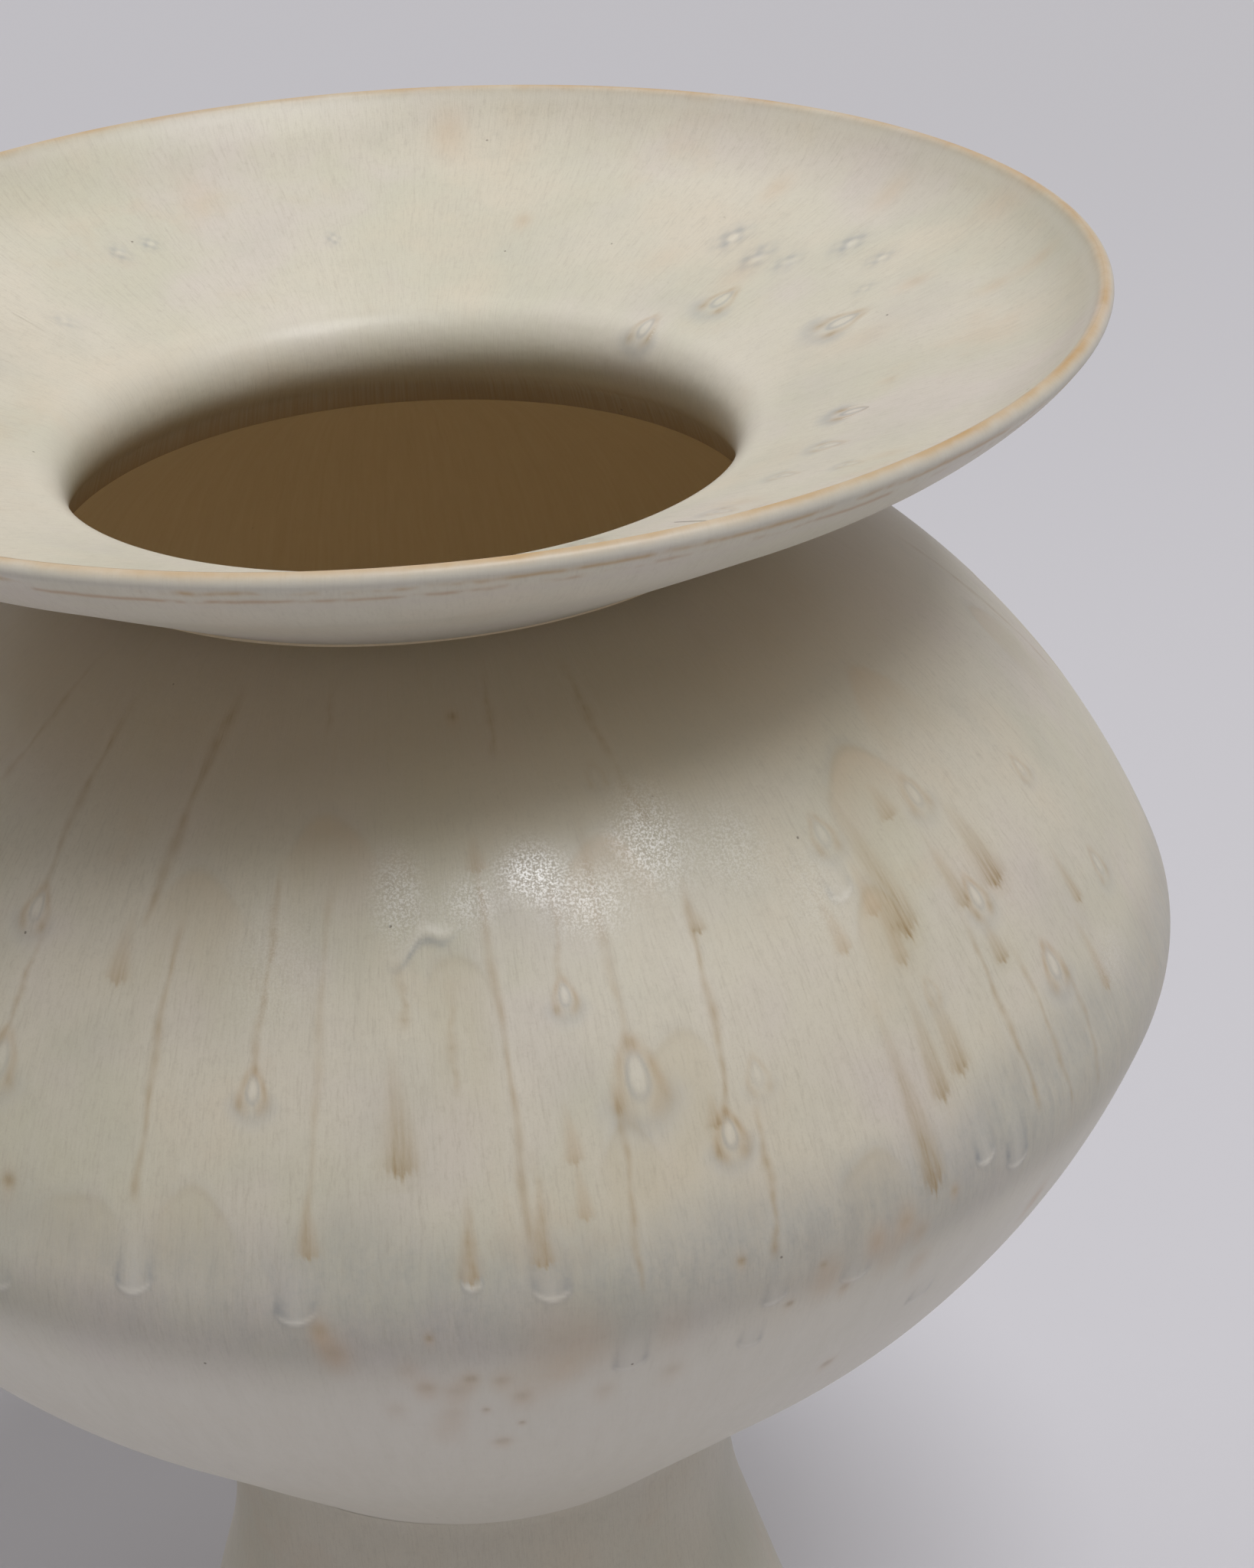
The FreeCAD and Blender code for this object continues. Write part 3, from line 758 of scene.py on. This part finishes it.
class Wire:
    # a number socket: arithmetic on it adds Math nodes
    def __init__(self, tree, socket):
        self.tree, self.socket = tree, socket

    def maths(self, operation, *others, settings=None):
        chosen = {"operation": operation, **(settings or {})}
        return self.tree.node("ShaderNodeMath", chosen, dict(enumerate((self, *others))))

    def other(self, output):
        # another output of the same node
        return Wire(self.tree, self.socket.node.outputs[output])

    def __add__(self, other):
        return self.maths("ADD", other)

    def __sub__(self, other):
        return self.maths("SUBTRACT", other)

    def __mul__(self, other):
        return self.maths("MULTIPLY", other)

    def __truediv__(self, other):
        return self.maths("DIVIDE", other)

    def __pow__(self, other):
        return self.maths("POWER", other)

    def __rsub__(self, other):
        return self.tree.node("ShaderNodeMath", {"operation": "SUBTRACT"}, {0: other, 1: self})

    __radd__ = __add__
    __rmul__ = __mul__

    def clamp(self):
        return self.maths("ADD", 0.0, settings={"use_clamp": True})

    def between(self, low, high):
        # an S-curve from 0 at low to 1 at high
        return self.tree.node("ShaderNodeMapRange", {"interpolation_type": "SMOOTHSTEP"},
                              {"Value": self, "From Min": low, "From Max": high})

    def bell(self, centre, width):
        # 1 at the centre, falling off as a bell curve
        apart = (self - centre) / width
        return (apart * apart * -1).maths("EXPONENT")


class Tree:
    # the nodes of one material or world
    def __init__(self, material):
        material.use_nodes = True
        self.nodes, self.links = material.node_tree.nodes, material.node_tree.links
        self.nodes.clear()

    def node(self, kind, settings=None, inputs=None, output=0):
        made = self.nodes.new(kind)
        for name, value in (settings or {}).items():
            setattr(made, name, value)
        for name, value in (inputs or {}).items():
            if isinstance(value, Wire):
                self.links.new(value.socket, made.inputs[name])
            else:
                made.inputs[name].default_value = value
        return Wire(self, made.outputs[output]) if made.outputs else made

    def mixColour(self, factor, first, second):
        # sockets 6 and 7 take the colours, and output 2 gives one; the node clamps its factor
        return self.node("ShaderNodeMix", {"data_type": "RGBA"}, {"Factor": factor, 6: first, 7: second}, 2)

    def noise(self, vector, scale, detail=2.0, roughness=0.5):
        return self.node("ShaderNodeTexNoise", {}, {"Vector": vector, "Scale": scale, "Detail": detail,
                                                    "Roughness": roughness})

    def attribute(self, name):
        return self.node("ShaderNodeAttribute", {"attribute_name": name}, {}, "Fac")


def colour(red, green, blue):
    # a screen colour, over 10 of 255 in each channel, as the linear one that a shader takes
    return (*[((value / 255 + 0.055) / 1.055) ** 2.4 for value in (red, green, blue)], 1.0)


glazeLook = {
    "cream": colour(204, 197, 180), "warm": colour(206, 193, 171), "green": colour(194, 190, 170),
    "mauve": colour(201, 191, 183), "cloud": colour(181, 178, 163), "hair": colour(168, 159, 143),
    "paleHair": colour(214, 209, 197), "ochre": colour(151, 130, 93), "frost": colour(224, 219, 207),
    "crystal": colour(226, 223, 214), "blush": colour(198, 170, 138), "veil": colour(184, 174, 147),
    "slate": colour(142, 143, 142), "lipGold": colour(182, 150, 104), "lipBlue": colour(200, 196, 185),
    "lipRust": colour(176, 142, 110), "throat": colour(150, 124, 88), "inside": colour(228, 212, 182),
    "insideDark": colour(216, 196, 160), "clay": colour(166, 142, 114), "clayDark": colour(142, 118, 92),
    "pinhole": colour(96, 84, 68), "roughness": 0.5, "coatRoughness": 0.24, "bumpStrength": 0.6,
    # pitch round the axis, stretch along the run, and sway of the brush hairs
    "hairs": {"fine": (270.0, 260.0, 2.2), "long": (108.0, 34.0, 1.5), "wash": (54.0, 55.0, 1.5)},
    # scale, detail and roughness
    "noises": {"wobble": (55.0, 1.0, 0.5), "broad": (15.0, 3.0, 0.55), "patch": (24.0, 3.0, 0.6),
               "cloud": (30.0, 4.0, 0.65), "grain": (2600.0, 2.0, 0.7), "speck": (620.0, 2.0, 0.6),
               "waver": (180.0, 2.0, 0.5), "broken": (70.0, 3.0, 0.6), "pinArea": (40.0, 2.0, 0.5),
               "crystal": (2300.0, 2.0, 0.8), "swell": (170.0, 2.0, 0.5)},
    "shifts": {"patch": (3.1, 1.7, 0.4), "cloud": (0.7, 2.3, 1.9)},
}


def makeGlaze():
    look = glazeLook
    material = bpy.data.materials.new("satinGlaze")
    tree = Tree(material)
    place = tree.node("ShaderNodeTexCoord", {}, {}, "Object")
    acrossX = tree.node("ShaderNodeSeparateXYZ", {}, {"Vector": place})
    acrossY = acrossX.other("Y")
    radius = (acrossX * acrossX + acrossY * acrossY + 1e-8) ** 0.5
    along = tree.attribute("along")

    def spots(name):
        vector = place
        if name in look["shifts"]:
            shift = {0: place, 1: look["shifts"][name]}
            vector = tree.node("ShaderNodeVectorMath", {"operation": "ADD"}, shift)
        return tree.noise(vector, *look["noises"][name])

    def hairs(name):
        # noise that is fine round the axis and long down the run
        pitch, stretch, sway = look["hairs"][name]
        vector = tree.node("ShaderNodeCombineXYZ", {}, {
            "X": acrossX / radius * pitch + wobble * sway, "Y": acrossY / radius * pitch + wobble * sway,
            "Z": along * stretch})
        return tree.noise(vector, 1.0, 3.0, 0.6)

    def lay(base, amount, name):
        return tree.mixColour(amount, base, look[name])

    wobble, broad, patch, cloud = [spots(name) for name in ("wobble", "broad", "patch", "cloud")]
    grain, speck, broken, crystal = [spots(name) for name in ("grain", "speck", "broken", "crystal")]
    fineHair, longHair, washHair = [hairs(name) for name in ("fine", "long", "wash")]

    # the ground: cream that drifts to green, mauve and warm, under clouds and brush hairs
    base = tree.mixColour(broad.between(0.38, 0.66), look["cream"], look["green"])
    base = lay(base, patch.between(0.45, 0.72) * 0.7, "mauve")
    base = lay(base, (1 - patch).between(0.5, 0.75) * 0.55, "warm")
    base = lay(base, cloud.between(0.50, 0.72) * 0.32, "cloud")
    base = lay(base, (1 - cloud).between(0.55, 0.75) * 0.22, "blush")
    darkHair = (1 - fineHair.between(0.30, 0.50)) * 0.24 + (1 - longHair.between(0.32, 0.50)) * 0.10 \
        + (1 - grain.between(0.25, 0.55)) * 0.18 + (1 - speck.between(0.30, 0.48)) * 0.12
    base = lay(base, darkHair, "hair")
    base = lay(base, fineHair.between(0.55, 0.75) * 0.15, "paleHair")

    # the marks: attribute, colour, and how hairs and specks break it up
    fromSpeck, fromWash = speck - 0.5, washHair - 0.5
    # the pale mark lays frost colour: partly paler glaze, partly painted light on the bowl and the collar's
    # underside, and a painted highlight on the throat's roll
    marks = [("veil", "veil", 0.8 + (longHair - 0.5)), ("wash", "frost", 0.9 + fromWash * 0.4),
             ("slate", "slate", 0.9 + fromSpeck * 0.8 + fromWash * 0.9),
             ("frost", "frost", 0.85 + fromSpeck * 0.5 + fromWash * 0.4),
             ("blush", "blush", 0.9 + fromSpeck * 0.6), ("ochre", "ochre", 0.9 + (fineHair - 0.5) * 1.6)]
    for name, tint, level in marks:
        base = lay(base, tree.attribute(name) * level, tint)

    # the lip: a grey-blue pool outside, broken gold and rust lines, a pale band in the dish, and gold
    # on the crest; each is (distance outside the crest, width in millimetres, strength, colour)
    lip = tree.attribute("lip") * 1000 + (broad - 0.5) * 1.2 + (spots("waver") - 0.5) * 1.1
    lines = [(2.4, 1.1, 0.6, "lipBlue"), (4.4, 0.7, broken.between(0.40, 0.56) * 0.7, "lipGold"),
             (7.2, 0.7, (1 - broken).between(0.42, 0.58) * 0.65, "lipRust"), (9.5, 1.6, 0.25, "mauve"),
             (-3.0, 1.8, 0.30, "paleHair"), (0.2, 1.35, 0.75 + (broken - 0.5) * 1.2, "lipGold")]
    for centre, width, level, tint in lines:
        base = lay(base, lip.bell(centre, width) * level, tint)

    # painted shade in brown over the throat's edge, where the roll turns under; the body's hollow is painted
    # paler than its glaze, standing in for light bounced round inside
    inside = tree.attribute("inside")
    base = lay(base, (inside * (0.9 + (longHair - 0.5) * 0.6)).between(0.05, 0.75), "throat")
    hollow = tree.mixColour(longHair, look["inside"], look["insideDark"])
    base = tree.mixColour(inside.between(0.85, 0.98), base, hollow)
    bare = tree.attribute("bare").clamp()
    clay = tree.mixColour(grain.between(0.35, 0.7), look["clay"], look["clayDark"])
    base = tree.mixColour(bare, base, clay)

    # pinholes and crystals
    pin = tree.node("ShaderNodeTexVoronoi", {}, {"Vector": place, "Scale": 95.0}, "Distance")
    pinhole = (1 - pin.between(0.014, 0.034)) * spots("pinArea").between(0.52, 0.56)
    base = lay(base, pinhole * 0.75, "pinhole")
    crystalAndGlintPatch = tree.attribute("crystal") * (0.5 + patch)
    # pale specks: crystals in the glaze, partly painted glints of the sheen; darker grains beside them
    base = lay(base, crystal.between(0.48, 0.58) * crystalAndGlintPatch * 0.8, "crystal")
    base = lay(base, (1 - crystal).between(0.52, 0.62) * crystalAndGlintPatch * 0.35, "hair")

    roughness = look["roughness"] + (patch - 0.5) * 0.12 - tree.attribute("frost") * 0.06 + bare * 0.4
    coat = (0.16 + crystal.between(0.46, 0.60) * crystalAndGlintPatch * 1.2) * (1 - bare)
    height = spots("swell") * (1.6 + tree.attribute("wash") * 4) + fineHair * 0.75 + longHair * 0.3 \
        + speck * 0.3 + crystal * 0.22 * (0.4 + patch) - pinhole * 1.5 + grain * bare * 0.6
    bump = tree.node("ShaderNodeBump", {}, {
        "Strength": look["bumpStrength"], "Distance": 0.0001, "Height": height})
    surface = tree.node("ShaderNodeBsdfPrincipled", {}, {
        "Base Color": base, "Roughness": roughness, "Normal": bump, "IOR": 1.5, "Specular IOR Level": 0.5,
        "Coat Weight": coat, "Coat Roughness": look["coatRoughness"]})
    tree.node("ShaderNodeOutputMaterial", {}, {"Surface": surface})
    return material


glaze = makeGlaze()
print("glaze mixed")

# The clay parts in their glaze: each shell is its runs, with the field and the waver of each, the
# columns round the axis, and the node that it replaces
shell("glazedCollar", [
    # the collar's underside is paler: partly its glaze, partly painted light from the floor
    (underRun, plainField(wash=0.35, start=400.0, lip=0.0), 0.5),
    (seatRun, plainField(inside=1.0), 0),
    (dishRun, marked(dishField, **dishTags), 0.3),
], 480, "neck_collar")
shell("shoulderClay", [
    (shoulderClayRun, plainField(), 1.0),
    (jointDownRun, plainField(), 0),
    (vaultRun, plainField(inside=1.0), 0),
], 360, "upper_bowl")
shell("haunchClay", [
    (hollowRun, plainField(inside=1.0), 0),
    (jointUpRun, plainField(), 0),
    (haunchClayRun, plainField(), 1.0),
    (baseRun, plainField(), 0),
], 360, "lower_bowl", closed=False)
footBare = ([0, 102, 104.5, 200], [0, 0, 1, 1])
boreBare = ([0, 14, 18, 200], [1, 1, 0.75, 0.7])
shell("glazedFoot", [
    (footRun, plainField(wash=0.15, start=bodyRun["length"][-1], bare=footBare), 0.6),
    (boreRun, plainField(start=600.0, bare=boreBare), 0),
], 480, "foot")

# the body's glaze goes over both bowls in sectors: fine where the photograph looks, coarser behind
sectors = {"names": ("bodyGlazeFront", "bodyGlazeBack"), "count": (6, 4),
           "edges": (-62.0, 82.0, 298.0), "columns": (176, 150)}
for side, count in enumerate(sectors["count"]):
    edges = np.linspace(sectors["edges"][side], sectors["edges"][side + 1], count + 1)
    for sector in range(count):
        azimuth = np.linspace(edges[sector], edges[sector + 1], sectors["columns"][side] + 1)
        name = sectors["names"][side] + str(sector + 1)
        joinSheets(name, [sheet(bodyRun, azimuth, bodyRun["along"], marked(bodyField))])


# the dish's windows: reach beyond a mark in drop sizes, how near the crest they come, grid steps,
# how far their face lies over the coarse one, and under it at the border
windows = {"aside": 6.5, "along": 8.5, "crestGap": 6, "steps": (0.4, 0.45), "over": 0.04, "under": 0.03,
           "border": 1.5}


def tuck(box):
    # raises a window's face over the coarse one, and sinks its border, along an S-curve
    def lift(azimuth, along, radius):
        aside = np.radians(np.minimum(azimuth - box[0], box[1] - azimuth)) * radius
        border = np.minimum(aside, np.minimum(along - box[2], box[3] - along))
        return (windows["over"] + windows["under"]) * smooth(0, windows["border"], border) - windows["under"]
    return lift


def dishSheets():
    # windows round the drops and smudges on the dish, each mark with room for its skirt
    boxes = []
    for centre, distance, size, strength in dishDrops + dishSmudges:
        at = dishLength - distance
        reach = math.degrees(windows["aside"] * size / onRun(dishRun, at)[0])
        room = windows["along"] * size
        boxes.append((centre - reach, centre + reach, max(at - room, 1),
                      min(at + room, dishLength - windows["crestGap"])))
    for box in mergeBoxes(boxes):
        wide = math.radians(box[1] - box[0]) * onRun(dishRun, (box[2] + box[3]) / 2)[0]
        azimuth = np.linspace(box[0], box[1], int(wide / windows["steps"][0]) + 4)
        along = np.linspace(box[2], box[3], int((box[3] - box[2]) / windows["steps"][1]) + 4)
        yield sheet(dishRun, azimuth, along, marked(dishWithDrops, **dishTags), tuck(box))


joinSheets("dishDrops", list(dishSheets()))
print("pieces made")

# Floor, light and camera
# a broad lamp in front, a small one beside it, and a weak wide one from behind; each has a strength,
# azimuth, height and spread in degrees, and a colour
stageLook = {
    "floor": colour(197, 196, 202), "shadedFarFloor": colour(187, 186, 191), "backdrop": colour(199, 198, 205),
    "floorSide": 12.0, "floorRoughness": 0.95, "world": (1.0, 0.94, 0.83, 1.0), "worldLevels": (0.09, 0.29),
    "lamps": {"softKey": (1.81, 38, 69, 28, (0.96, 0.965, 0.985)),
              "window": (0.32, 42, 52, 24, (1.0, 1.0, 1.0)),
              "backFill": (0.82, 205, 55, 60, (0.97, 0.97, 1.0))},
    # camera: radians, metres, and the lens in millimetres on a 36 mm sensor
    "yaw": 0.0588, "pitch": 0.46346, "roll": -0.05637, "back": -0.6953, "height": 0.5900, "lens": 86.13,
    "clip": (0.02, 60),
}


def addObject(name, data):
    made = bpy.data.objects.new(name, data)
    bpy.context.scene.collection.objects.link(made)
    return made


def makeFloor():
    material = bpy.data.materials.new("paleSweep")
    tree = Tree(material)
    place = tree.node("ShaderNodeTexCoord", {}, {}, "Object")
    depth = tree.node("ShaderNodeSeparateXYZ", {}, {"Vector": place}, 1)
    # painted shade: the floor is darker further back, where less light falls
    shade = tree.mixColour(depth.between(0.15, 1.3), stageLook["floor"], stageLook["shadedFarFloor"])
    surface = tree.node("ShaderNodeBsdfPrincipled", {}, {
        "Base Color": shade, "Roughness": stageLook["floorRoughness"], "Specular IOR Level": 0.1})
    tree.node("ShaderNodeOutputMaterial", {}, {"Surface": surface})
    mesh = bpy.data.meshes.new("floor")
    side = stageLook["floorSide"]
    corners = [(-side, -side, 0), (side, -side, 0), (side, side, 0), (-side, side, 0)]
    mesh.from_pydata(corners, [], [(0, 1, 2, 3)])
    mesh.materials.append(material)
    floor = addObject("floor", mesh)


def makeLight():
    world = bpy.data.worlds.new("studio")
    bpy.context.scene.world = world
    tree = Tree(world)
    outwards = tree.node("ShaderNodeTexCoord", {}, {}, "Generated")
    upward = tree.node("ShaderNodeSeparateXYZ", {}, {"Vector": outwards}, "Z")
    low, high = stageLook["worldLevels"]
    level = upward.between(0.0, 0.9) * (high - low) + low
    light = tree.node("ShaderNodeBackground", {}, {"Color": stageLook["world"], "Strength": level})
    # the camera and mirror-like reflections see a pale backdrop where the floor ends
    pale = tree.node("ShaderNodeBackground", {}, {"Color": stageLook["backdrop"], "Strength": 1.0})
    path = tree.node("ShaderNodeLightPath", {}, {}, "Is Camera Ray")
    seen = (path + path.other("Is Glossy Ray") + path.other("Is Transmission Ray")).clamp()
    both = tree.node("ShaderNodeMixShader", {}, {0: seen, 1: light, 2: pale})
    tree.node("ShaderNodeOutputWorld", {}, {"Surface": both})
    for name, (level, azimuth, height, spread, tint) in stageLook["lamps"].items():
        lamp = bpy.data.lights.new(name, "SUN")
        lamp.energy, lamp.angle, lamp.color = level, math.radians(spread), tint
        azimuth, height = math.radians(azimuth), math.radians(height)
        towards = Vector((math.sin(azimuth) * math.cos(height), -math.cos(azimuth) * math.cos(height),
                          math.sin(height)))
        sun = addObject(name, lamp)
        sun.rotation_mode = "QUATERNION"
        sun.rotation_quaternion = towards.to_track_quat("Z", "Y")


def makeCamera():
    # stands 0.7 m in front and looks down into the dish; the lens fits the photograph's perspective
    yaw, pitch, roll = stageLook["yaw"], stageLook["pitch"], stageLook["roll"]
    ahead = Vector((math.sin(yaw) * math.cos(pitch), math.cos(yaw) * math.cos(pitch), -math.sin(pitch)))
    level = Vector((math.cos(yaw), -math.sin(yaw), 0))
    upright = level.cross(ahead)
    right = math.cos(roll) * level + math.sin(roll) * upright
    top = -math.sin(roll) * level + math.cos(roll) * upright
    lens = bpy.data.cameras.new("camera")
    lens.sensor_width, lens.lens = 36, stageLook["lens"]
    lens.clip_start, lens.clip_end = stageLook["clip"]
    camera = addObject("camera", lens)
    camera.matrix_world = Matrix(((right.x, top.x, -ahead.x, 0),
                                  (right.y, top.y, -ahead.y, stageLook["back"]),
                                  (right.z, top.z, -ahead.z, stageLook["height"]), (0, 0, 0, 1)))
    bpy.context.scene.camera = camera


makeFloor()
makeLight()
makeCamera()
bpy.context.scene.view_settings.view_transform = "Standard"
print("stage set")
